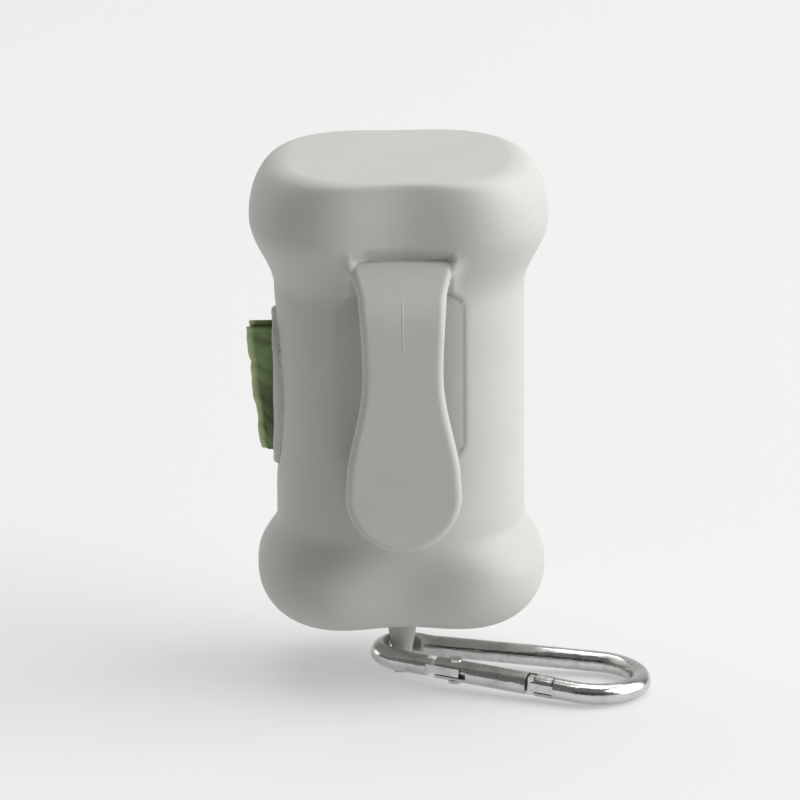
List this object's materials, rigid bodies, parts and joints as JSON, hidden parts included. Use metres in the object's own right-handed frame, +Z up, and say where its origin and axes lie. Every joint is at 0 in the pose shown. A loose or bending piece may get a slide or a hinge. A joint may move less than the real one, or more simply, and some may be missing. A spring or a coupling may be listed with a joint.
{
  "type": "dog waste bag dispenser",
  "caption": "Bone-shaped soft dispenser for rolled dog waste bags, with a side slot, a moulded belt clip and a steel snap hook on a hanging lug.",
  "frame": {"origin": "middle of the flat foot of the hanging lug, on the surface that the dispenser stands on, under the sleeve's axis", "axes": "+Z up along the sleeve's axis, -Y toward the belt clip, -X toward the bag slot"},
  "size_m": [0.0712, 0.0499, 0.0951],
  "materials": {
    "silicone": "satin",
    "bag_film": "satin",
    "core_card": "matte card",
    "steel": "nickel plated, polished"
  },
  "bodies": {
    "sleeve": {"sleeve": "silicone", "hang_lug": "silicone", "film_web": "bag_film"},
    "clip": {"belt_clip": "silicone"},
    "roll": {"bag_roll": "bag_film", "roll_core": "core_card"},
    "lead": {"lead_bag": "bag_film"},
    "hook": {"hook_wire": "steel"},
    "gate": {"gate": "steel", "hinge_rivet": "steel", "gate_spring": "steel"},
    "plunger": {"spring_plunger": "steel"}
  },
  "joints": [
    {"name": "clip_flex", "type": "hinge", "parent": "sleeve", "child": "clip", "pos_m": [0, -0.02488, 0.07384], "axis": [-1, 0, 0], "range_deg": [-3, 15], "stiffness_Nm_per_rad": 0.15},
    {"name": "roll_spin", "type": "hinge", "parent": "sleeve", "child": "roll", "pos_m": [0, 0, 0.05305], "axis": [0, 0, -1], "range_deg": [0, 90]},
    {"name": "bag_pull", "type": "slide", "parent": "sleeve", "child": "lead", "axis": [-1, 0, 0], "range_m": [0, 0.0252]},
    {"name": "hook_swing", "type": "hinge", "parent": "sleeve", "child": "hook", "pos_m": [0, 0, 0.0045], "axis": [1, 0, 0], "range_deg": [-4, 95]},
    {"name": "gate_open", "type": "hinge", "parent": "hook", "child": "gate", "pos_m": [0.00918, -0.01351, 0.0036], "axis": [0.0501, -0.0163, 0.9986], "range_deg": [0, 24], "stiffness_Nm_per_rad": 0.03},
    {"name": "plunger_push", "type": "slide", "parent": "gate", "child": "plunger", "axis": [0.913, -0.4046, -0.0524], "range_m": [0, 0.00052]}
  ],
  "couplings": [
    {"joint": "bag_pull", "follows": "roll_spin", "m_per_rad": 0.0159},
    {"joint": "plunger_push", "follows": "gate_open", "m_per_rad": 0.0012}
  ]
}
